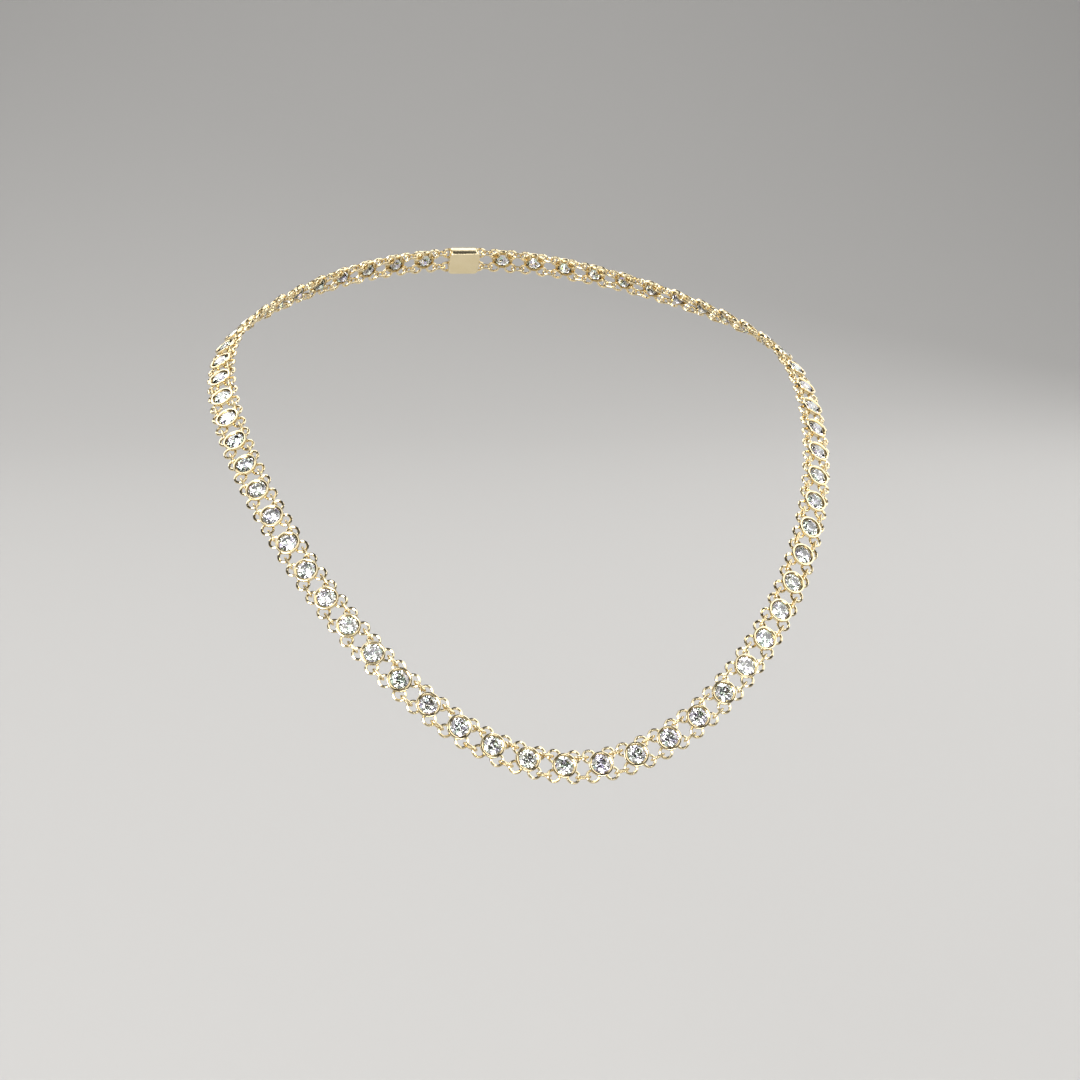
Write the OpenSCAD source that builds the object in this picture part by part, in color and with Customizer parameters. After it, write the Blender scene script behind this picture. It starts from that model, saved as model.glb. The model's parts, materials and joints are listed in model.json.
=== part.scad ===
// A line necklace: round stones in plain collets, each with four small rings at its corners.
// Neighbouring collets hang together by two oval links, and a plain box clasp closes the loop.
// The front faces -Y and +Z is up. The middle of the clasp's inner face, at the nape, is the origin.
// Sizes are in millimetres and angles in degrees.

/* [Line] */
// Distance from one stone's centre to the next along the line
pitch = 7.5; // [7.48:0.01:7.56]
// Stones on each side of the front
stones_per_side = 30; // [28:1:30]
// Room that the clasp takes along the line, counted in pitches
clasp_room = 1.5; // [1.45:0.01:1.6]
// Half of the loop's width, before its finer waves
loop_half_width = 64.7; // [64:0.1:66]
// Half of the distance from the front to the nape, before its finer waves
loop_half_depth = 68.9; // [68:0.1:70]
// Half of the rise from the front to the nape, before its finer waves
loop_half_rise = 37.3; // [36.5:0.1:38]

/* [Bank of the faces] */
// Upward bank of the stones at the front
bank_front = 34; // [31:1:36]
// Upward bank of the stones where the line crosses the shoulders
bank_side = 60; // [57:1:62]
// Upward bank of the clasp at the nape
bank_nape = 31; // [28:1:34]

/* [Stone] */
// Width of a stone across its girdle
stone_d = 4.02; // [4:0.01:4.04]
// Width of the table as a share of the stone's width
table_share = 0.56; // [0.53:0.01:0.6]
// Slope of the crown's main facets
crown_angle = 34.5; // [33:0.5:35.5]
// Slope of the pavilion's main facets
pavilion_angle = 40.75; // [40:0.25:41.5]
// Thickness of the girdle
girdle_height = 0.08; // [0.06:0.01:0.1]
// Height of the girdle's lower edge over the plane of the corner rings
girdle_level = 0.6; // [0.59:0.01:0.62]

/* [Collet] */
// Width across the rim
rim_d = 5.04; // [5:0.01:5.08]
// Width across the underside
under_d = 4.6; // [4.5:0.05:4.8]
// Height of the rim over the plane of the corner rings
rim_level = 1.1; // [1.08:0.01:1.13]
// Height of the underside over the plane of the corner rings, which are soldered to it
under_level = 0.15; // [0.12:0.01:0.17]
// Height of the straight band under the rim
rim_band = 0.62; // [0.55:0.01:0.7]
// Width of the bevels on the rim
rim_bevel = 0.1; // [0.08:0.01:0.12]
// Overlap of the rim's lip over the stone's edge
lip_overlap = 0.1; // [0.08:0.01:0.11]
// Width of the slope inside the rim, from the lip's edge up to the rim's top
lip_flare = 0.3; // [0.25:0.01:0.33]
// Gap between a stone and its collet
stone_play = 0.11; // [0.1:0.01:0.12]

/* [Rings and links] */
// Distance of a corner ring from the stone's centre, along the line
ring_reach = 1.98; // [1.97:0.01:1.98]
// Distance of a corner ring from the stone's centre, across the line
ring_offset = 2.02; // [2:0.01:2.06]
// Outer width of a corner ring
ring_d = 3; // [2.96:0.01:3]
// Thickness of a corner ring's wire
ring_wire = 0.58; // [0.56:0.01:0.58]
// Inner length of an oval link
link_length = 2.4; // [2.39:0.01:2.44]
// Inner width of an oval link
link_width = 0.86; // [0.84:0.01:0.95]
// Thickness of a link's wire
link_wire = 0.46; // [0.44:0.01:0.48]

/* [Clasp] */
// Length of the clasp's box along the line
clasp_length = 7.2; // [6.8:0.1:7.4]
// Width of the clasp's box across the line
clasp_width = 6.2; // [5.8:0.1:6.6]
// Depth of the clasp's inner face under the plane of the corner rings
clasp_drop = 1.6; // [1.5:0.05:1.8]
// Height of the clasp's outer face over the plane of the corner rings
clasp_level = 0.9; // [0.7:0.05:1]
// Radius of the box's upright corners
clasp_corner = 1; // [0.8:0.1:1.2]

/* [Hidden] */
gold = [0.88, 0.77, 0.5];
clear_stone = [0.92, 0.95, 0.98];
round_sides = 48;
wire_sides = 40;
corner_steps = 4;
over = 0.5;

// The waves that shape the loop seen from the front, the side and above, the longest first
side_waves = [1, -0.05, 0.015, -0.018];
depth_waves = [1, -0.01, 0.013, -0.038];
rise_waves = [1, 0.282, 0.076, -0.026];
wave_numbers = [1, 2, 3, 4];
bank_mean = (bank_front + bank_nape) / 4 + bank_side / 2;
bank_fall = (bank_front - bank_nape) / 2;
bank_swell = (bank_front + bank_nape) / 4 - bank_side / 2;

line_samples = 360;
sample_turn = 180 / line_samples;
half_length = (stones_per_side + clasp_room / 2) * pitch;
last_place = 2 * stones_per_side + 1;
clasp_reach = ring_reach + (clasp_room - 1) / 2 * pitch;

stone_r = stone_d / 2;
girdle_top = girdle_level + girdle_height;
lip_r = stone_r - lip_overlap;
pocket_r = stone_r + stone_play;
facet_turn = 22.5;
star_share = 0.76;
lower_share = 0.24;

// Rise of the upper girdle facets, the steepest of the crown, which the rim's lip stands clear of
edge_rise = tan(crown_angle) * (1 - star_share * cos(facet_turn)) / (1 - star_share);
lip_level = girdle_top + lip_overlap * edge_rise + stone_play * norm([1, edge_rise]);

// Fall of the lower girdle facets' middle edges, the steepest of the pavilion, which the seat's cone follows
edge_fall = tan(pavilion_angle) * (1 - lower_share * cos(facet_turn)) / (1 - lower_share);
seat_top = girdle_level - stone_play * norm([1, edge_fall]);
seat_tip = seat_top - stone_r * edge_fall;
pocket_level = seat_top + stone_play * edge_fall;

function unit(v) = v / norm(v);
function sines(turn) = [for (k = wave_numbers) sin(k * turn)];
function swings(turn) = [for (k = wave_numbers) 1 - cos(k * turn)];
function cosine_slopes(turn) = [for (k = wave_numbers) k * cos(k * turn)];
function sine_slopes(turn) = [for (k = wave_numbers) k * sin(k * turn)];

// A point of the line at a turn from the front, 0, to the nape, 180, and the line's direction there
function line_point(turn) = [
    loop_half_width * (side_waves * sines(turn)),
    loop_half_depth * (depth_waves * swings(turn)),
    loop_half_rise * (rise_waves * swings(turn))
];
function line_slope(turn) = [
    loop_half_width * (side_waves * cosine_slopes(turn)),
    loop_half_depth * (depth_waves * sine_slopes(turn)),
    loop_half_rise * (rise_waves * sine_slopes(turn))
];

// The length run from the front to each sample, which turns a distance into a turn
lengths = [
    for (
        i = 0, run = 0;
        i <= line_samples;
        run = run + norm(line_point((i + 1) * sample_turn) - line_point(i * sample_turn)),
        i = i + 1
    ) run
];
turns_by_length = [for (i = [0:line_samples]) [lengths[i], i * sample_turn]];
loop_scale = half_length / lengths[line_samples];

function turn_at(distance) = sign(distance) * lookup(abs(distance) / loop_scale, turns_by_length);
function bank_at(turn) = bank_mean + bank_fall * cos(turn) + bank_swell * cos(2 * turn);

// Axes of a place on the line: along it, across it and out through the stone's face, then its point
function axes_at(turn) =
    let (
        along = unit(line_slope(turn)),
        level = unit(cross(along, [0, 0, 1])),
        upright = cross(level, along),
        face = cos(bank_at(turn)) * level + sin(bank_at(turn)) * upright
    )
    [along, cross(face, along), face, loop_scale * line_point(turn)];
nape_axes = axes_at(180);
nape_point = nape_axes[3] - clasp_drop * nape_axes[2];

// Places run from the clasp round by the left side, the front and the right side to the clasp again
function is_clasp(i) = i == 0 || i == last_place;
function distance_of(i) =
    is_clasp(i) ? (i == 0 ? -half_length : half_length) : (i - stones_per_side - 0.5) * pitch;
function hold_of(i) = (is_clasp(i) ? clasp_reach : ring_reach) + (ring_d - ring_wire) / 2;
function place_of(i) =
    let (axes = axes_at(turn_at(distance_of(i))))
    [axes[0], axes[1], axes[2], axes[3] - nape_point];

// Axes of the link that joins place i to the next one, at the upper edge, 1, or the lower edge, -1.
// The link is centred on the two ring wires that it holds.
function link_place(i, edge) =
    let (
        here = place_of(i),
        next = place_of(i + 1),
        start = here[3] + hold_of(i) * here[0] + edge * ring_offset * here[1],
        end = next[3] - hold_of(i + 1) * next[0] + edge * ring_offset * next[1],
        along = unit(end - start),
        mean_face = here[2] + next[2],
        face = unit(mean_face - (mean_face * along) * along)
    )
    [along, face, cross(along, face), (start + end) / 2];

module at_place(p) {
    multmatrix([
        [p[0][0], p[1][0], p[2][0], p[3][0]],
        [p[0][1], p[1][1], p[2][1], p[3][1]],
        [p[0][2], p[1][2], p[2][2], p[3][2]]
    ])
        children();
}

module wire_ring(middle_d, wire, sweep = 360) {
    rotate_extrude(angle = sweep, $fn = round_sides)
        translate([middle_d / 2, 0])
            circle(d = wire, $fn = wire_sides);
}

// Four rings in one plane, their centres at the corners of an oblong
module corner_rings(reach) {
    for (side = [-1, 1], edge = [-1, 1])
        translate([side * reach, edge * ring_offset, 0])
            wire_ring(ring_d - ring_wire, ring_wire);
}

module collet_body() {
    rotate_extrude($fn = round_sides)
        polygon([
            [0, under_level],
            [under_d / 2, under_level],
            [rim_d / 2, rim_level - rim_band],
            [rim_d / 2, rim_level - rim_bevel],
            [rim_d / 2 - rim_bevel, rim_level],
            [0, rim_level]
        ]);
}

// The room inside a collet: the seat's cone along the pavilion, a pocket for the girdle
// and the opening inside the lip, which slopes up from the stone to the rim's top
module collet_room() {
    lip_slope = lip_flare / (rim_level - lip_level);
    rotate_extrude($fn = round_sides)
        polygon([
            [0, seat_tip],
            [pocket_r, pocket_level],
            [pocket_r, lip_level],
            [lip_r, lip_level],
            [lip_r + lip_flare + over * lip_slope, rim_level + over],
            [0, rim_level + over]
        ]);
}

// A collet soldered on its four corner rings, which the seat's cone notches where they pass under the stone
module collet() {
    difference() {
        union() {
            collet_body();
            corner_rings(ring_reach);
        }
        collet_room();
    }
}

// A round brilliant: table, 8 stars, 8 kites and 16 upper facets over the girdle,
// 16 lower facets and 8 mains under it
module brilliant() {
    crown_rise = tan(crown_angle);
    pavilion_rise = tan(pavilion_angle);
    table_r = table_share * stone_r;
    star_r = star_share * stone_r;
    lower_r = lower_share * stone_r;
    table_level = girdle_top + (stone_r - table_r) * crown_rise;
    star_level = girdle_top + (stone_r - star_r * cos(facet_turn)) * crown_rise;
    lower_level = girdle_level - (stone_r - lower_r * cos(facet_turn)) * pavilion_rise;
    culet_level = girdle_level - stone_r * pavilion_rise;
    upper = 0;
    lower = 16;
    table = 32;
    star = 40;
    deep = 48;
    culet = 56;
    function ring_points(count, r, first, level) = [
        for (j = [0:count - 1]) [r * cos(first + j * 360 / count), r * sin(first + j * 360 / count), level]
    ];
    points = concat(
        ring_points(16, stone_r, 0, girdle_top),
        ring_points(16, stone_r, 0, girdle_level),
        ring_points(8, table_r, 0, table_level),
        ring_points(8, star_r, facet_turn, star_level),
        ring_points(8, lower_r, facet_turn, lower_level),
        [[0, 0, culet_level]]
    );
    faces = concat(
        [[for (j = [7:-1:0]) table + j]],
        [for (j = [0:7]) [table + (j + 1) % 8, star + j, table + j]],
        [for (j = [0:7]) [star + j, upper + 2 * j, star + (j + 7) % 8, table + j]],
        [for (j = [0:7]) [upper + 2 * j + 1, upper + 2 * j, star + j]],
        [for (j = [0:7]) [upper + (2 * j + 2) % 16, upper + 2 * j + 1, star + j]],
        [for (j = [0:15]) [upper + j, upper + (j + 1) % 16, lower + (j + 1) % 16, lower + j]],
        [for (j = [0:7]) [deep + j, lower + 2 * j, lower + 2 * j + 1]],
        [for (j = [0:7]) [deep + j, lower + 2 * j + 1, lower + (2 * j + 2) % 16]],
        [for (j = [0:7]) [culet, deep + (j + 7) % 8, lower + 2 * j, deep + j]]
    );
    polyhedron(points = points, faces = faces);
}

// An oval link: a half ring at each end and two straight wires between them
module link() {
    straight = link_length - link_width;
    middle_d = link_width + link_wire;
    for (turn = [0, 180])
        rotate([0, 0, turn]) {
            translate([straight / 2, 0, 0])
                rotate([0, 0, -90])
                    wire_ring(middle_d, link_wire, 180);
            translate([0, middle_d / 2, 0])
                rotate([0, 90, 0])
                    cylinder(h = straight, d = link_wire, center = true, $fn = wire_sides);
        }
}

module collets(first, last) {
    color(gold)
        for (i = [first:last])
            at_place(place_of(i))
                collet();
}

module diamonds(first, last) {
    color(clear_stone)
        for (i = [first:last])
            at_place(place_of(i))
                brilliant();
}

module links(first, last) {
    color(gold)
        for (i = [first:last], edge = [-1, 1])
            at_place(link_place(i, edge))
                link();
}

module collets_left() {
    collets(1, stones_per_side);
}

module collets_right() {
    collets(stones_per_side + 1, last_place - 1);
}

module diamonds_left() {
    diamonds(1, stones_per_side);
}

module diamonds_right() {
    diamonds(stones_per_side + 1, last_place - 1);
}

module links_left() {
    links(0, stones_per_side - 1);
}

// The two links at the middle of the front belong to this side
module links_right() {
    links(stones_per_side, last_place - 1);
}

// A plain box with round upright corners and four soldered rings, two at each end
module clasp() {
    corner_x = clasp_length / 2 - clasp_corner;
    corner_y = clasp_width / 2 - clasp_corner;
    corner_centres = [
        [corner_x, corner_y],
        [-corner_x, corner_y],
        [-corner_x, -corner_y],
        [corner_x, -corner_y]
    ];
    outline = [
        for (c = [0:3], k = [0:corner_steps])
            corner_centres[c] + clasp_corner * [
                cos(90 * c + 90 * k / corner_steps),
                sin(90 * c + 90 * k / corner_steps)
            ]
    ];
    color(gold)
        at_place(place_of(last_place))
            union() {
                translate([0, 0, -clasp_drop])
                    linear_extrude(clasp_level + clasp_drop)
                        polygon(outline);
                corner_rings(clasp_reach);
            }
}

collets_left();
collets_right();
diamonds_left();
diamonds_right();
links_left();
links_right();
clasp();
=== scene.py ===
"""Looks of a diamond line necklace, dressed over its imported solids.

Sixty brilliants sit in plain round collets of pale yellow gold. Each collet stands on four
soldered corner rings, and oval links join the rings, two from each collet to the next. The places
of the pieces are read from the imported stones, so the pieces sit where the solids are. Sizes are in
millimetres and angles in degrees, as in the part. The studio is laid out in metres.
"""

import json
import logging
import math
from dataclasses import dataclass
from enum import Enum

import bmesh
import bpy
from mathutils import Matrix, Vector

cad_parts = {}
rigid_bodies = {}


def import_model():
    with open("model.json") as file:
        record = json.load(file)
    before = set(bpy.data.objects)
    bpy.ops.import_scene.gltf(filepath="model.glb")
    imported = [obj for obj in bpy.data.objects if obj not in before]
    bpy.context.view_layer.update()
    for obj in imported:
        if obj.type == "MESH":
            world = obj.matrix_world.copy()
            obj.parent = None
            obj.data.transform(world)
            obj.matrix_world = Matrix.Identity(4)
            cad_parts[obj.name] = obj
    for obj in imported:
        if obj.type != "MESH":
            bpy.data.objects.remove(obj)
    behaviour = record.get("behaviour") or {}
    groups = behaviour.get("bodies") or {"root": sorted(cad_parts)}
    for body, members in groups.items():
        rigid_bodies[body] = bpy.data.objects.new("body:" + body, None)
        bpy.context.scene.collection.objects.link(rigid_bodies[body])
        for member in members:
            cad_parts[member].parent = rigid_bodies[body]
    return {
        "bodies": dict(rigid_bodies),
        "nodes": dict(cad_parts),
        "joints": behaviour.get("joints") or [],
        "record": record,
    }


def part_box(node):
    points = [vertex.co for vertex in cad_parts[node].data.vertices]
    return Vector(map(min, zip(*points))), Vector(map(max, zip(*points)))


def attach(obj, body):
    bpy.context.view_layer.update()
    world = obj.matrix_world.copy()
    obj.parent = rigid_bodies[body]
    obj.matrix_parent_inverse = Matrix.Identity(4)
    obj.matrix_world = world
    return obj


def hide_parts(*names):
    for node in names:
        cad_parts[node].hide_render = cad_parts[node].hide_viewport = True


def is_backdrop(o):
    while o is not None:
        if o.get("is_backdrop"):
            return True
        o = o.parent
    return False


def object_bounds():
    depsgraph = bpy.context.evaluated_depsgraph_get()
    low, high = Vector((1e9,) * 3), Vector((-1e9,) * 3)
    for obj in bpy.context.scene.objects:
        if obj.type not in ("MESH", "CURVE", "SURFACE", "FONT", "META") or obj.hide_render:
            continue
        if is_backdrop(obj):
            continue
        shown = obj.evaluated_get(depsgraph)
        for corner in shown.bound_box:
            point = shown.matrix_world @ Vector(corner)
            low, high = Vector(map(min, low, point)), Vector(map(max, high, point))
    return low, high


MM = 0.001
NECKLACE_HEART = (0.0, -0.07, -0.04)

# Points of a piece that are nearer than MERGE are one point, a point is found by its place within
# TOUCH, and faces that turn by less than FLAT_ANGLE are one facet.
MERGE = 1e-4
TOUCH = 1e-3
FLAT_ANGLE = 0.5

# What each point knows: how much painted shade darkens it, in a nook, inside a collet or in the
# middle of a link, and the shade of its unit. The shade's step from one unit to the next keeps
# neighbours apart.
PAINTED_SHADE_LAYER = "painted_shade"
SHADE = "shade"
SHADE_STEP = 0.618034

Triple = tuple[float, float, float]
Section = list[bmesh.types.BMVert | bmesh.types.BMEdge]
log = logging.getLogger("necklace")


class Side(Enum):
    """The two halves of the row, named as one sees them from the front."""

    LEFT = "left"
    RIGHT = "right"


class Edge(Enum):
    """The two edges of the band, by the direction across it."""

    UPPER = 1
    LOWER = -1


def fade(distance: float, reach: float) -> float:
    """A value that falls from 1 at no distance to 0 at the reach."""
    return max(0.0, 1 - abs(distance) / reach)


def set_down(name: str, data: bpy.types.ID) -> bpy.types.Object:
    """Makes an object of a mesh, a camera or a light and sets it down in the scene.

    Args:
        name: Name of the object.
        data: What the object holds.

    Returns:
        The object, at the origin.
    """
    thing = bpy.data.objects.new(name, data)
    bpy.context.scene.collection.objects.link(thing)
    return thing


@dataclass(frozen=True)
class Place:
    """Where a unit sits: its direction along the row, its face, and its middle in metres."""

    along: Vector
    face: Vector
    middle: Vector

    @property
    def across(self) -> Vector:
        """The direction across the band, towards its upper edge."""
        return self.face.cross(self.along)

    def matrix(self) -> Matrix:
        """The transform from a unit's own millimetres to the frame's metres."""
        axes = Matrix((self.along, self.across, self.face)).transposed().to_4x4()
        return Matrix.Translation(self.middle) @ axes @ Matrix.Scale(MM, 4)

    def point(self, along: float, across: float) -> Vector:
        """A point in the plane of the corner rings, at distances from the middle."""
        return self.matrix() @ Vector((along, across, 0))


class Workshop:
    """Small jobs on meshes that more than one kind of piece needs."""

    @staticmethod
    def spin(bm: bmesh.types.BMesh, section: Section, sweep: float, steps: int) -> None:
        """Turns a section round the Z axis, and closes it on itself where the turn is full.

        Args:
            bm: The mesh that holds the section.
            section: The section's points and edges.
            sweep: Angle of the turn.
            steps: Faces along the turn.
        """
        bmesh.ops.spin(
            bm,
            geom=section,
            cent=(0, 0, 0),
            axis=(0, 0, 1),
            angle=math.radians(sweep),
            steps=steps,
            use_merge=sweep >= 360,
        )

    @staticmethod
    def wire(
        bm: bmesh.types.BMesh,
        ring_d: float,
        wire_d: float,
        steps: int,
        sides: int,
        start: float = 0,
        sweep: float = 360,
    ) -> list[bmesh.types.BMVert]:
        """Bends a round wire into a ring or an open arc in the plane Z = 0, round the origin.

        Args:
            bm: The mesh that takes the wire.
            ring_d: Width of the ring along the middle of its wire.
            wire_d: Thickness of the wire.
            steps: Faces along the wire.
            sides: Faces round the wire.
            start: Angle at which the wire starts.
            sweep: Angle that the wire runs through, 360 for a closed ring.

        Returns:
            The points of the wire.
        """
        known = set(bm.verts)
        turn = Matrix.Rotation(math.radians(start), 4, "Z")
        stand = Matrix.Translation((ring_d / 2, 0, 0)) @ Matrix.Rotation(math.pi / 2, 4, "X")
        section = bmesh.ops.create_circle(
            bm, segments=sides, radius=wire_d / 2, matrix=turn @ stand
        )["verts"]
        edges = list(dict.fromkeys(edge for vert in section for edge in vert.link_edges))
        Workshop.spin(bm, section + edges, sweep, steps)
        rim = [edge for edge in bm.edges if edge.is_boundary and edge.verts[0] not in known]
        if rim:
            bmesh.ops.holes_fill(bm, edges=rim, sides=sides)
        return [vert for vert in bm.verts if vert not in known]

    @staticmethod
    def soften(
        bm: bmesh.types.BMesh, edges: list[bmesh.types.BMEdge], width: float, segments: int
    ) -> None:
        """Rounds edges over.

        Args:
            bm: The mesh.
            edges: The edges.
            width: Distance from the edge at which the rounding starts.
            segments: Faces across the rounding.
        """
        bmesh.ops.bevel(
            bm,
            geom=edges,
            offset=width,
            offset_type="OFFSET",
            segments=segments,
            profile=0.5,
            affect="EDGES",
            material=-1,
        )

    @staticmethod
    def close(bm: bmesh.types.BMesh, sharp: float) -> None:
        """Merges doubles, turns the faces outwards and marks the edges that stay sharp.

        Args:
            bm: The mesh.
            sharp: Angle between two faces from which their edge is sharp.
        """
        bmesh.ops.remove_doubles(bm, verts=bm.verts, dist=MERGE)
        bmesh.ops.recalc_face_normals(bm, faces=bm.faces)
        for face in bm.faces:
            face.smooth = True
        for edge in bm.edges:
            edge.smooth = edge.is_manifold and edge.calc_face_angle(0) < math.radians(sharp)

    @staticmethod
    def mesh(bm: bmesh.types.BMesh, name: str) -> bpy.types.Mesh:
        """Hands a finished shape over as a mesh, and frees it.

        Args:
            bm: The shape.
            name: Name of the mesh.

        Returns:
            The mesh.
        """
        mesh = bpy.data.meshes.new(name)
        bm.to_mesh(mesh)
        bm.free()
        return mesh

    @staticmethod
    def set_out(pattern: bmesh.types.BMesh, places: list[Matrix], name: str) -> bpy.types.Object:
        """Sets copies of a pattern out in their places and joins them in one object.

        Args:
            pattern: One unit in its own millimetres. It is freed.
            places: The transform of each copy.
            name: Name of the object.

        Returns:
            The object, which rides on the frame's one body.
        """
        shade = pattern.verts.layers.float.new(SHADE)
        row = bmesh.new()
        for number, matrix in enumerate(places):
            for vert in pattern.verts:
                vert[shade] = number * SHADE_STEP % 1
            unit = bpy.data.meshes.new(name)
            pattern.to_mesh(unit)
            unit.transform(matrix)
            row.from_mesh(unit)
            bpy.data.meshes.remove(unit)
        pattern.free()
        piece = set_down(name, Workshop.mesh(row, name))
        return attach(piece, "root")


@dataclass(frozen=True)
class Brilliant:
    """A round brilliant, with its levels counted from the plane of the corner rings.

    The girdle's level is that of its lower edge. The shares are parts of the radius: that of the
    table's corners, of the points of the crown's stars and of the points between the pavilion's
    mains.
    """

    width: float = 4.02
    table_share: float = 0.56
    star_share: float = 0.76
    lower_share: float = 0.24
    crown_angle: float = 34.5
    pavilion_angle: float = 40.75
    girdle_height: float = 0.08
    girdle_level: float = 0.6
    girdle_points: int = 16
    mains: int = 8

    @property
    def radius(self) -> float:
        """Half of the stone's width."""
        return self.width / 2

    @property
    def girdle_top(self) -> float:
        """Level of the girdle's upper edge."""
        return self.girdle_level + self.girdle_height

    def crown_level(self, share: float) -> float:
        """Level of the crown's mains at a share of the radius."""
        rise = math.tan(math.radians(self.crown_angle))
        return self.girdle_top + (1 - share) * self.radius * rise

    def pavilion_level(self, share: float) -> float:
        """Level of the pavilion's mains at a share of the radius."""
        fall = math.tan(math.radians(self.pavilion_angle))
        return self.girdle_level - (1 - share) * self.radius * fall

    def cut(self) -> bmesh.types.BMesh:
        """Cuts one stone: rings of its facet points, wrapped in flat facets.

        Returns:
            The stone in its own millimetres.
        """
        bm = bmesh.new()
        turn = math.pi / self.mains
        lean = math.cos(turn)
        rings = (
            (self.girdle_points, 1, 0, self.girdle_top),
            (self.girdle_points, 1, 0, self.girdle_level),
            (self.mains, self.table_share, 0, self.crown_level(self.table_share)),
            (self.mains, self.star_share, turn, self.crown_level(self.star_share * lean)),
            (self.mains, self.lower_share, turn, self.pavilion_level(self.lower_share * lean)),
        )
        for count, share, start, level in rings:
            stand = Matrix.Translation((0, 0, level)) @ Matrix.Rotation(start, 4, "Z")
            bmesh.ops.create_circle(bm, segments=count, radius=share * self.radius, matrix=stand)
        bmesh.ops.create_vert(bm, co=(0, 0, self.pavilion_level(0)))
        bmesh.ops.delete(bm, geom=bm.edges, context="EDGES_FACES")
        bmesh.ops.convex_hull(bm, input=bm.verts)
        bmesh.ops.dissolve_limit(
            bm, angle_limit=math.radians(FLAT_ANGLE), verts=bm.verts, edges=bm.edges
        )
        bmesh.ops.recalc_face_normals(bm, faces=bm.faces)
        return bm


@dataclass(frozen=True)
class Collet:
    """A shallow round collet on four corner rings, with a polished rim rubbed over the stone.

    Levels count from the plane of the rings. The nook is the joint between the wall and the rings.
    There and inside the wall the gold takes painted shade and a rougher finish.
    """

    rim_d: float = 5.04
    rim_level: float = 1.1
    rim_band: float = 0.62
    rim_bevel: float = 0.1
    under_d: float = 4.6
    under_level: float = 0.15
    edge_bevel: float = 0.05
    bevel_segments: int = 2
    lip_d: float = 3.82
    lip_level: float = 0.91
    lip_flare: float = 0.3
    pocket_d: float = 4.24
    pocket_level: float = 0.55
    seat_d: float = 3.333
    ring_reach: float = 1.98
    ring_offset: float = 2.02
    ring_d: float = 3
    ring_wire: float = 0.58
    round_sides: int = 48
    ring_steps: int = 28
    wire_sides: int = 8
    sharp: float = 38
    nook_reach: float = 0.4
    nook_height: float = 0.25
    nook_painted_shade: float = 0.8

    @property
    def ring_line_d(self) -> float:
        """Width of a corner ring along the middle of its wire."""
        return self.ring_d - self.ring_wire

    @property
    def flare_d(self) -> float:
        """Width at which the flare of the lip meets the top of the rim."""
        return self.lip_d + 2 * self.lip_flare

    @property
    def seat_fall(self) -> float:
        """Fall of the seat's cone for each millimetre towards the middle."""
        return (self.pocket_level - self.under_level) / ((self.pocket_d - self.seat_d) / 2)

    def outline(self) -> list[Vector]:
        """Draws the wall's section, from the underside's outer edge by the rim to the seat.

        Returns:
            The corners of the closed section, in the plane Y = 0.
        """
        corners = (
            (self.under_d, self.under_level),
            (self.rim_d, self.rim_level - self.rim_band),
            (self.rim_d, self.rim_level),
            (self.flare_d, self.rim_level),
            (self.lip_d, self.lip_level),
            (self.pocket_d, self.lip_level),
            (self.pocket_d, self.pocket_level),
            (self.seat_d, self.under_level),
        )
        return [Vector((width / 2, 0, level)) for width, level in corners]

    def turn_wall(self, bm: bmesh.types.BMesh) -> None:
        """Turns the wall on the lathe and rounds the edges of the rim and of the underside.

        Args:
            bm: The mesh that takes the wall.
        """
        section = [bm.verts.new(point) for point in self.outline()]
        edges = [bm.edges.new((section[i - 1], section[i])) for i in range(len(section))]
        Workshop.spin(bm, section + edges, 360, self.round_sides)
        bmesh.ops.remove_doubles(bm, verts=bm.verts, dist=MERGE)
        for width, level, bevel in (
            (self.rim_d, self.rim_level, self.rim_bevel),
            (self.flare_d, self.rim_level, self.edge_bevel),
            (self.under_d, self.under_level, self.edge_bevel),
        ):
            ring = {
                vert
                for vert in bm.verts
                if abs(vert.co.z - level) < TOUCH and abs(vert.co.xy.length - width / 2) < TOUCH
            }
            loop = [edge for edge in bm.edges if ring.issuperset(edge.verts)]
            Workshop.soften(bm, loop, bevel, self.bevel_segments)

    def solder_rings(self, bm: bmesh.types.BMesh) -> None:
        """Sets the corner rings under the wall and files them where the seat runs through them.

        Args:
            bm: The mesh that holds the wall.
        """
        slope = math.hypot(1, self.seat_fall)
        for along in (-1, 1):
            for across in (-1, 1):
                ring = Workshop.wire(
                    bm, self.ring_line_d, self.ring_wire, self.ring_steps, self.wire_sides
                )
                corner = (along * self.ring_reach, across * self.ring_offset, 0)
                bmesh.ops.translate(bm, vec=corner, verts=ring)
                for vert in ring:
                    out = vert.co.xy.normalized() * self.seat_fall
                    cone = self.under_level - (self.seat_d / 2 - vert.co.xy.length) * self.seat_fall
                    past_seat = (vert.co.z - cone) / slope
                    if past_seat > 0:
                        vert.co += Vector((out.x, out.y, -1)) * past_seat / slope

    def paint_shade(self, bm: bmesh.types.BMesh) -> None:
        """Notes the painted shade of each point: full inside the wall, fading out in the nook under
        it.

        Args:
            bm: The mesh of the whole collet.
        """
        # Painted shade: the inside of the wall, seen under the stone, and the nook under the wall
        # are darkened where shade falls.
        layer = bm.verts.layers.float.new(PAINTED_SHADE_LAYER)
        for vert in bm.verts:
            away, level = vert.co.xy.length, vert.co.z
            inside = away < self.lip_d / 2 + TOUCH and level < self.lip_level + TOUCH
            nook = fade(away - self.under_d / 2, self.nook_reach)
            nook *= fade(level - self.under_level, self.nook_height)
            vert[layer] = 1.0 if inside else self.nook_painted_shade * nook

    def make(self) -> bmesh.types.BMesh:
        """Makes one collet with its rings.

        Returns:
            The collet in its own millimetres.
        """
        bm = bmesh.new()
        self.turn_wall(bm)
        self.solder_rings(bm)
        Workshop.close(bm, self.sharp)
        self.paint_shade(bm)
        return bm


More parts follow.
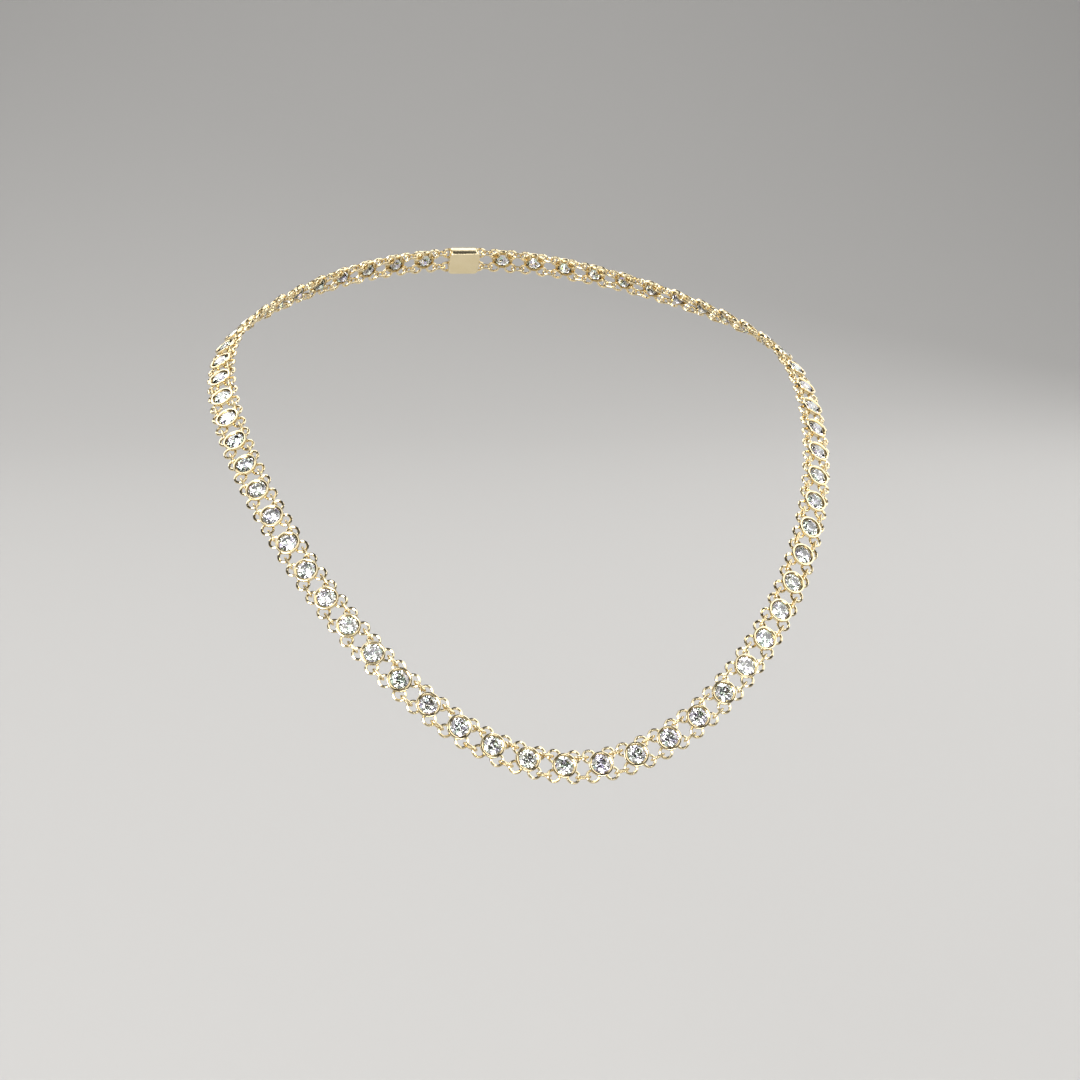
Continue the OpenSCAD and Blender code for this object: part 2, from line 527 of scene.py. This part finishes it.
@dataclass(frozen=True)
class Link:
    """A small oval link, which passes through the corner rings of two neighbours.

    Length and width are those of its hole. Its middle, between the rings, takes the most painted
    shade.
    """

    length: float = 2.4
    width: float = 0.86
    wire: float = 0.46
    steps: int = 16
    sides: int = 6
    sharp: float = 60
    middle_painted_shade: float = 0.5

    def make(self) -> bmesh.types.BMesh:
        """Makes one link: a round ring, drawn out to an oval.

        Returns:
            The link in its own millimetres.
        """
        bm = bmesh.new()
        ring = Workshop.wire(
            bm, self.width + self.wire, self.wire, self.steps, self.sides, start=180 / self.steps
        )
        for vert in ring:
            vert.co.x += math.copysign((self.length - self.width) / 2, vert.co.x)
        Workshop.close(bm, self.sharp)
        # Painted shade: the link darkens towards its middle, between the rings.
        layer = bm.verts.layers.float.new(PAINTED_SHADE_LAYER)
        for vert in bm.verts:
            vert[layer] = self.middle_painted_shade * fade(vert.co.x, self.length / 2)
        return bm

    @staticmethod
    def place(start: Vector, end: Vector, face: Vector) -> Matrix:
        """Stands a link upright on the band, centred between the two wires that it holds.

        Args:
            start: Middle of the first wire, in metres.
            end: Middle of the second wire, in metres.
            face: Direction in which the band faces there, of any length.

        Returns:
            The link's transform.
        """
        along = (end - start).normalized()
        upright = (face - face.dot(along) * along).normalized()
        return Place(along, along.cross(upright), (start + end) / 2).matrix()


@dataclass(frozen=True)
class Clasp:
    """A plain box at the back with rounded corners, softened edges and four soldered rings.

    The level is that of its outer face over the plane of the rings, and the drop is that of its
    inner face under it.
    """

    length: float = 7.2
    width: float = 6.2
    level: float = 0.9
    drop: float = 1.6
    corner: float = 1
    corner_segments: int = 8
    edge_round: float = 0.22
    edge_segments: int = 3
    ring_reach: float = 3.855
    ring_sweep: float = 260
    ring_steps: int = 20
    sharp: float = 38
    nook_reach: float = 0.6
    nook_height: float = 0.4

    def make_box(self, bm: bmesh.types.BMesh) -> None:
        """Makes the box, rounds its corners and softens the edges of its two faces.

        Args:
            bm: The mesh that takes the box.
        """
        height = self.level + self.drop
        middle = Matrix.Translation((0, 0, self.level - height / 2))
        size = Matrix.Diagonal((self.length, self.width, height, 1))
        bmesh.ops.create_cube(bm, size=1, matrix=middle @ size)
        upright = [
            edge
            for edge in bm.edges
            if abs(edge.verts[0].co.z - edge.verts[1].co.z) > height / 2
        ]
        Workshop.soften(bm, upright, self.corner, self.corner_segments)
        faces = [face for face in bm.faces if abs(face.normal.z) > 0.9]
        lips = list(dict.fromkeys(edge for face in faces for edge in face.edges))
        Workshop.soften(bm, lips, self.edge_round, self.edge_segments)

    def solder_rings(self, bm: bmesh.types.BMesh, rings: Collet) -> None:
        """Solders four open rings to the ends of the box.

        Args:
            bm: The mesh that holds the box.
            rings: The collet whose corner rings the clasp repeats.
        """
        for across in (-1, 1):
            for along, heading in ((-1, 180), (1, 0)):
                ring = Workshop.wire(
                    bm,
                    rings.ring_line_d,
                    rings.ring_wire,
                    self.ring_steps,
                    rings.wire_sides,
                    start=heading - self.ring_sweep / 2,
                    sweep=self.ring_sweep,
                )
                corner = (along * self.ring_reach, across * rings.ring_offset, 0)
                bmesh.ops.translate(bm, vec=corner, verts=ring)

    def make(self, rings: Collet) -> bmesh.types.BMesh:
        """Makes the clasp and paints shade into the nooks where its rings meet the box.

        Args:
            rings: The collet whose corner rings the clasp repeats.

        Returns:
            The clasp in its own millimetres.
        """
        bm = bmesh.new()
        self.make_box(bm)
        self.solder_rings(bm, rings)
        Workshop.close(bm, self.sharp)
        # Painted shade: the gold darkens in the nooks where the rings meet the box.
        layer = bm.verts.layers.float.new(PAINTED_SHADE_LAYER)
        for vert in bm.verts:
            nook = fade(abs(vert.co.x) - self.length / 2, self.nook_reach)
            vert[layer] = nook if abs(vert.co.z) < self.nook_height else 0.0
        return bm


class GoldSurface:
    """The shader node group of worked gold: tone, gloss and relief that change over the surface.

    Clouds, painted shade in nooks and the shade of each unit add up to how dark and dull a point is.
    """

    NAME = "worked_gold_surface"
    CLOUD_SCALE = 420
    CLOUD_DETAIL = 3
    CLOUD_SHARE = 0.35
    UNIT_SHARE = 0.12
    GRAIN_DETAIL = 4
    GRAIN_ROUGHNESS = 0.6

    @classmethod
    def group(cls) -> bpy.types.NodeTree:
        """Builds the group at its first use.

        Returns:
            The group.
        """
        if cls.NAME in bpy.data.node_groups:
            return bpy.data.node_groups[cls.NAME]
        tree = bpy.data.node_groups.new(cls.NAME, "ShaderNodeTree")
        for name, kind in (
            ("Bright Tone", "NodeSocketColor"),
            ("Deep Tone", "NodeSocketColor"),
            ("Gloss", "NodeSocketFloat"),
            ("Wear", "NodeSocketFloat"),
            ("Grain Scale", "NodeSocketFloat"),
        ):
            tree.interface.new_socket(name, in_out="INPUT", socket_type=kind)
        for name, kind in (
            ("Tone", "NodeSocketColor"),
            ("Roughness", "NodeSocketFloat"),
            ("Relief", "NodeSocketFloat"),
        ):
            tree.interface.new_socket(name, in_out="OUTPUT", socket_type=kind)
        cls._wire_up(tree)
        return tree

    @classmethod
    def _wire_up(cls, tree: bpy.types.NodeTree) -> None:
        """Places and links the group's nodes.

        Args:
            tree: The group with its sockets.
        """
        node, link = tree.nodes.new, tree.links.new
        inputs, outputs = node("NodeGroupInput").outputs, node("NodeGroupOutput").inputs
        place = node("ShaderNodeTexCoord").outputs["Object"]
        painted_shade, shade = node("ShaderNodeAttribute"), node("ShaderNodeAttribute")
        painted_shade.attribute_name, shade.attribute_name = PAINTED_SHADE_LAYER, SHADE

        cloud = node("ShaderNodeTexNoise")
        cloud.inputs["Scale"].default_value = cls.CLOUD_SCALE
        cloud.inputs["Detail"].default_value = cls.CLOUD_DETAIL
        link(place, cloud.inputs["Vector"])

        grain = node("ShaderNodeTexNoise")
        grain.inputs["Detail"].default_value = cls.GRAIN_DETAIL
        grain.inputs["Roughness"].default_value = cls.GRAIN_ROUGHNESS
        link(place, grain.inputs["Vector"])
        link(inputs["Grain Scale"], grain.inputs["Scale"])

        # Painted shade: the point attribute that darkens nooks, the inside of the collets and the
        # middles of the links is added to the clouds here. It pulls the tone towards the deep tone
        # and also roughens the gold.
        dull_and_painted_shade = cls._scaled_sum(
            tree, cloud.outputs["Fac"], cls.CLOUD_SHARE, painted_shade.outputs["Fac"], clamp=False
        )
        varied = cls._scaled_sum(tree, shade.outputs["Fac"], cls.UNIT_SHARE, dull_and_painted_shade)
        rough = cls._scaled_sum(tree, varied, inputs["Wear"], inputs["Gloss"])

        tone = node("ShaderNodeMix")
        tone.data_type = "RGBA"
        link(varied, tone.inputs["Factor"])
        link(inputs["Bright Tone"], tone.inputs["A"])
        link(inputs["Deep Tone"], tone.inputs["B"])
        link(tone.outputs["Result"], outputs["Tone"])
        link(rough, outputs["Roughness"])
        link(grain.outputs["Fac"], outputs["Relief"])

    @staticmethod
    def _scaled_sum(
        tree: bpy.types.NodeTree,
        value: bpy.types.NodeSocket,
        factor: float | bpy.types.NodeSocket,
        base: bpy.types.NodeSocket,
        clamp: bool = True,
    ) -> bpy.types.NodeSocket:
        """Adds a node that gives value times factor plus base.

        Args:
            tree: The group that takes the node.
            value: What is scaled.
            factor: A number, or the socket that gives it.
            base: What is added.
            clamp: Whether the sum is kept between 0 and 1.

        Returns:
            The sum's socket.
        """
        node = tree.nodes.new("ShaderNodeMath")
        node.operation = "MULTIPLY_ADD"
        node.use_clamp = clamp
        tree.links.new(value, node.inputs[0])
        if isinstance(factor, bpy.types.NodeSocket):
            tree.links.new(factor, node.inputs[1])
        else:
            node.inputs[1].default_value = factor
        tree.links.new(base, node.inputs[2])
        return node.outputs[0]


@dataclass(frozen=True)
class Gold:
    """A finish of pale yellow gold. The grain's depth is in millimetres."""

    name: str
    bright: Triple = (0.94, 0.82, 0.55)
    deep: Triple = (0.56, 0.4, 0.16)
    gloss: float = 0.08
    wear: float = 0.2
    grain_scale: float = 3000
    grain_depth: float = 0.1
    relief: float = 0.02

    def material(self) -> bpy.types.Material:
        """Builds the finish.

        Returns:
            The material.
        """
        material = bpy.data.materials.new(self.name)
        material.use_nodes = True
        tree = material.node_tree
        shader = tree.nodes["Principled BSDF"]
        shader.inputs["Metallic"].default_value = 1
        surface = tree.nodes.new("ShaderNodeGroup")
        surface.node_tree = GoldSurface.group()
        for name, value in (
            ("Bright Tone", (*self.bright, 1)),
            ("Deep Tone", (*self.deep, 1)),
            ("Gloss", self.gloss),
            ("Wear", self.wear),
            ("Grain Scale", self.grain_scale),
        ):
            surface.inputs[name].default_value = value
        bump = tree.nodes.new("ShaderNodeBump")
        bump.inputs["Strength"].default_value = self.relief
        bump.inputs["Distance"].default_value = self.grain_depth * MM
        tree.links.new(surface.outputs["Tone"], shader.inputs["Base Color"])
        tree.links.new(surface.outputs["Roughness"], shader.inputs["Roughness"])
        tree.links.new(surface.outputs["Relief"], bump.inputs["Height"])
        tree.links.new(bump.outputs["Normal"], shader.inputs["Normal"])
        return material


@dataclass(frozen=True)
class ClearStone:
    """The finish of a clear stone, with faint tints of the spectrum painted into it as fire."""

    name: str = "clear_brilliant"
    refraction: float = 2.417
    painted_fire_scale: float = 1200
    painted_fire_tints: tuple[Triple, ...] = (
        (1, 1, 0.99),
        (0.74, 0.64, 1),
        (1, 0.99, 0.96),
        (0.66, 1, 0.78),
        (1, 0.93, 0.72),
        (1, 1, 0.99),
    )

    def material(self) -> bpy.types.Material:
        """Builds the finish: each small cell of the stone takes one of the tints, as painted fire.

        Returns:
            The material.
        """
        material = bpy.data.materials.new(self.name)
        material.use_nodes = True
        tree = material.node_tree
        shader = tree.nodes["Principled BSDF"]
        shader.inputs["Transmission Weight"].default_value = 1
        shader.inputs["IOR"].default_value = self.refraction
        shader.inputs["Roughness"].default_value = 0
        # Painted fire: coloured cells in the base colour stand in for the colours that dispersion
        # throws back.
        place = tree.nodes.new("ShaderNodeTexCoord")
        cells = tree.nodes.new("ShaderNodeTexVoronoi")
        cells.inputs["Scale"].default_value = self.painted_fire_scale
        tree.links.new(place.outputs["Object"], cells.inputs["Vector"])
        draw = tree.nodes.new("ShaderNodeSeparateColor")
        tree.links.new(cells.outputs["Color"], draw.inputs["Color"])
        ramp = tree.nodes.new("ShaderNodeValToRGB")
        bands = ramp.color_ramp.elements
        bands[0].color = (*self.painted_fire_tints[0], 1)
        bands[-1].color = (*self.painted_fire_tints[-1], 1)
        for number, tint in enumerate(self.painted_fire_tints[1:-1], start=1):
            bands.new(number / (len(self.painted_fire_tints) - 1)).color = (*tint, 1)
        tree.links.new(draw.outputs["Red"], ramp.inputs["Fac"])
        tree.links.new(ramp.outputs["Color"], shader.inputs["Base Color"])
        return material


@dataclass(frozen=True)
class Table:
    """The table of a packed stone: its middle, its normal and its corners, in metres."""

    middle: Vector
    normal: Vector
    corners: list[Vector]


class Row:
    """The units in order: the clasp, the left side, the right side and the clasp again."""

    def __init__(self, frame: dict, stone: Brilliant, clasp: Clasp) -> None:
        """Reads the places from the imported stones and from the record's mount.

        Args:
            stone: The stone's proportions.
            clasp: The clasp's sizes.
        """
        sides = {side: self._tables(frame["nodes"][f"diamonds_{side.value}"]) for side in Side}
        self.per_side = {side: len(tables) for side, tables in sides.items()}
        nape = next(mount for mount in frame["record"]["mounts"] if mount["name"] == "nape")
        face = -Vector(nape["axis"])
        origin = Vector(nape["pos_m"])
        self.clasp = Place(Vector((-1, 0, 0)), face, origin + face * clasp.drop * MM)
        tables = sides[Side.LEFT] + sides[Side.RIGHT]
        sink = stone.crown_level(stone.table_share) * MM
        middles = [table.middle - table.normal * sink for table in tables]
        ring = [self.clasp.middle, *middles, self.clasp.middle]
        self.units = [self.clasp]
        for number, table in enumerate(tables, start=1):
            chord = ring[number + 1] - ring[number - 1]
            spokes = [(corner - table.middle).normalized() for corner in table.corners]
            self.units.append(Place(max(spokes, key=chord.dot), table.normal, ring[number]))
        self.units.append(self.clasp)

    @staticmethod
    def _tables(node: bpy.types.Object) -> list[Table]:
        """Finds the tables of the stones in a node, each stone's largest facet.

        Args:
            node: A CAD node of stones.

        Returns:
            The tables in order, from the left of the clasp by the front to its right.
        """
        bm = bmesh.new()
        bm.from_mesh(node.data)
        bmesh.ops.remove_doubles(bm, verts=bm.verts, dist=TOUCH * MM)
        bmesh.ops.dissolve_limit(
            bm, angle_limit=math.radians(FLAT_ANGLE), verts=bm.verts, edges=bm.edges
        )
        nearly_largest = 0.9 * max(face.calc_area() for face in bm.faces)
        tables = [
            Table(
                face.calc_center_median(),
                face.normal.copy(),
                [vert.co.copy() for vert in face.verts],
            )
            for face in bm.faces
            if face.calc_area() > nearly_largest
        ]
        bm.free()
        low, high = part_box("collets_left")
        heart = (low.y + high.y) / 2

        def bearing(table: Table) -> float:
            """The table's angle round the loop, counted from the front to the left."""
            return math.atan2(-table.middle.x, heart - table.middle.y)

        return sorted(tables, key=bearing, reverse=True)

    def side(self, side: Side) -> list[Place]:
        """The places of one side's collets."""
        first = 1 if side is Side.LEFT else 1 + self.per_side[Side.LEFT]
        return self.units[first : first + self.per_side[side]]

    def gaps(self, side: Side) -> list[tuple[Place, Place]]:
        """Pairs each unit with the next one.

        Args:
            side: The side of the row.

        Returns:
            The side's pairs. That at the middle of the front is the right side's.
        """
        pairs = list(zip(self.units, self.units[1:]))
        middle = self.per_side[Side.LEFT]
        return pairs[:middle] if side is Side.LEFT else pairs[middle:]


@dataclass(frozen=True)
class Necklace:
    """The whole necklace: its patterns, its finishes and the pieces made from them."""

    stone: Brilliant = Brilliant()
    collet: Collet = Collet()
    link: Link = Link()
    clasp: Clasp = Clasp()
    collet_gold: Gold = Gold("collet_gold_polished")
    link_gold: Gold = Gold("link_gold_drawn", gloss=0.1, wear=0.22, grain_scale=4200)
    clasp_gold: Gold = Gold("clasp_gold_brushed", gloss=0.16, grain_scale=2200, relief=0.05)
    clear: ClearStone = ClearStone()

    def dress(
        self, piece: bpy.types.Object, material: bpy.types.Material, node: str
    ) -> None:
        """Gives a piece its finish and lets it stand for its CAD node.

        Args:
            piece: The piece.
            material: Its finish.
            node: The CAD node that it replaces.
        """
        piece.data.materials.append(material)
        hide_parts(node)
        log.info("%s: %d faces for %s", piece.name, len(piece.data.polygons), node)

    def hold(self, row: Row, unit: Place) -> float:
        """Distance along the row from a unit's middle to the wires that its links hold."""
        reach = self.clasp.ring_reach if unit is row.clasp else self.collet.ring_reach
        return reach + self.collet.ring_line_d / 2

    def link_places(self, row: Row, side: Side) -> list[Matrix]:
        """Finds where one side's links go, two in each gap.

        Args:
            row: The units in order.
            side: The side of the row.

        Returns:
            The transform of each link.
        """
        places = []
        for here, after in row.gaps(side):
            for edge in Edge:
                across = edge.value * self.collet.ring_offset
                start = here.point(self.hold(row, here), across)
                end = after.point(-self.hold(row, after), across)
                places.append(self.link.place(start, end, here.face + after.face))
        return places

    def build(self, row: Row) -> None:
        """Builds and dresses every piece on its place in the row.

        Args:
            row: The units in order.
        """
        collet_gold, link_gold = self.collet_gold.material(), self.link_gold.material()
        clear = self.clear.material()
        for side in Side:
            name = side.value
            places = [place.matrix() for place in row.side(side)]
            collets = Workshop.set_out(self.collet.make(), places, f"rubbed_collets_{name}")
            self.dress(collets, collet_gold, f"collets_{name}")
            stones = Workshop.set_out(self.stone.cut(), places, f"cut_stones_{name}")
            self.dress(stones, clear, f"diamonds_{name}")
            link_places = self.link_places(row, side)
            links = Workshop.set_out(self.link.make(), link_places, f"oval_links_{name}")
            self.dress(links, link_gold, f"links_{name}")
        clasp = Workshop.set_out(self.clasp.make(self.collet), [row.clasp.matrix()], "box_clasp")
        self.dress(clasp, self.clasp_gold.material(), "clasp")


@dataclass(frozen=True)
class Viewpoint:
    """The photograph's point of view, with all lengths in millimetres.

    Azimuth 0 looks along +Y, and a positive one looks towards -X.
    """

    azimuth: float = -12.01
    elevation: float = 14
    roll: float = 1.26
    distance: float = 585.4
    target: Triple = (-1.67, -101.2, -42.31)
    lens: float = 94.3
    sensor: float = 36
    nearest: float = 10
    farthest: float = 20000

    def place(self) -> bpy.types.Object:
        """Makes the camera and gives it to the scene.

        Returns:
            The camera.
        """
        aim = Matrix.Translation(Vector(self.target) * MM)
        turn = Matrix.Rotation(math.radians(self.azimuth), 4, "Z")
        tilt = Matrix.Rotation(math.radians(90 - self.elevation), 4, "X")
        roll = Matrix.Rotation(math.radians(self.roll), 4, "Z")
        back = Matrix.Translation((0, 0, self.distance * MM))
        camera = set_down("photo_camera", bpy.data.cameras.new("photo_camera"))
        camera.matrix_world = aim @ (turn @ tilt) @ roll @ back
        camera.data.lens = self.lens
        camera.data.sensor_width = self.sensor
        camera.data.clip_start = self.nearest * MM
        camera.data.clip_end = self.farthest * MM
        bpy.context.scene.camera = camera
        return camera


@dataclass(frozen=True)
class Softbox:
    """A rectangular soft light, hung at a place and turned to a point, with its power in watts."""

    name: str
    place: Triple
    width: float
    height: float
    power: float
    aim: Triple = NECKLACE_HEART

    def hang(self) -> bpy.types.Object:
        """Hangs the light.

        Returns:
            The light.
        """
        lamp = bpy.data.lights.new(self.name, "AREA")
        lamp.shape = "RECTANGLE"
        lamp.size, lamp.size_y = self.width, self.height
        lamp.energy = self.power
        light = set_down(self.name, lamp)
        light.location = self.place
        towards = Vector(self.aim) - light.location
        light.rotation_euler = towards.to_track_quat("-Z", "Y").to_euler()
        return light


@dataclass(frozen=True)
class Studio:
    """A plain pale floor, soft lights and a dim room.

    The floor lies a drop under the necklace and sweeps up behind it and behind the camera.
    """

    drop: float = 0.11
    front: float = 1.5
    back: float = 1.6
    half_width: float = 1.6
    front_rise: float = 1.1
    back_rise: float = 1.8
    sweep: float = 0.9
    sweep_segments: int = 24
    tone: Triple = (0.53, 0.52, 0.505)
    roughness: float = 0.9
    ambient: float = 0.06
    lights: tuple[Softbox, ...] = (
        Softbox("left_softbox", (-0.5, -0.6, 0.26), 0.3, 0.5, 4.5),
        Softbox("upper_left_softbox", (-0.39, -0.3, 0.74), 1, 0.6, 2.2),
        Softbox("right_softbox", (0.68, -0.19, 0.54), 1.2, 1, 7),
        Softbox("left_back_softbox", (-0.41, 0.51, 0.51), 0.8, 0.6, 3.5),
        Softbox("right_back_softbox", (0.55, 0.59, 0.24), 0.5, 0.5, 1.2),
        Softbox("front_strip", (0.16, -0.95, 0.09), 0.4, 0.15, 1.5),
        Softbox("backdrop_softbox", (0, 0.6, 1.1), 1.6, 0.5, 6, aim=(0, 1.3, -0.1)),
    )

    def paper(self) -> bpy.types.Material:
        """Makes the floor's matt paper.

        Returns:
            The material.
        """
        paper = bpy.data.materials.new("matt_paper")
        paper.use_nodes = True
        shader = paper.node_tree.nodes["Principled BSDF"]
        shader.inputs["Base Color"].default_value = (*self.tone, 1)
        shader.inputs["Roughness"].default_value = self.roughness
        return paper

    def floor(self, lowest: float) -> bpy.types.Object:
        """Lays the floor: a line with two creases, drawn out across and softened.

        Args:
            lowest: Height of the necklace's lowest point.

        Returns:
            The floor.
        """
        bm = bmesh.new()
        level = lowest - self.drop
        corners = (
            (-self.front, level + self.front_rise),
            (-self.front, level),
            (self.back, level),
            (self.back, level + self.back_rise),
        )
        line = [bm.verts.new((-self.half_width, depth, height)) for depth, height in corners]
        edges = [bm.edges.new(pair) for pair in zip(line, line[1:])]
        grown = bmesh.ops.extrude_edge_only(bm, edges=edges)["geom"]
        far_side = [part for part in grown if isinstance(part, bmesh.types.BMVert)]
        bmesh.ops.translate(bm, vec=(2 * self.half_width, 0, 0), verts=far_side)
        creases = [edge for edge in bm.edges if edge.is_manifold]
        Workshop.soften(bm, creases, self.sweep, self.sweep_segments)
        bmesh.ops.recalc_face_normals(bm, faces=bm.faces)
        for face in bm.faces:
            face.smooth = True
        floor = set_down("pale_floor", Workshop.mesh(bm, "pale_floor"))
        floor.data.materials.append(self.paper())
        floor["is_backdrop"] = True
        return floor

    def light(self) -> None:
        """Hangs the lights and sets the room's own light and the picture's tones."""
        for softbox in self.lights:
            softbox.hang()
        world = bpy.data.worlds.new("studio_room")
        world.use_nodes = True
        room = world.node_tree.nodes["Background"]
        room.inputs["Color"].default_value = (1, 1, 1, 1)
        room.inputs["Strength"].default_value = self.ambient
        scene = bpy.context.scene
        scene.world = world
        scene.view_settings.view_transform = "Standard"


def main() -> None:
    """Loads the frame, dresses the necklace, and sets the camera, the floor and the lights."""
    logging.basicConfig(level=logging.INFO, format="%(name)s %(message)s")
    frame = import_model()
    cad_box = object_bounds()
    necklace = Necklace()
    necklace.build(Row(frame, necklace.stone, necklace.clasp))
    Viewpoint().place()
    studio = Studio()
    studio.floor(cad_box[0].z)
    studio.light()


if __name__ == "__main__":
    main()
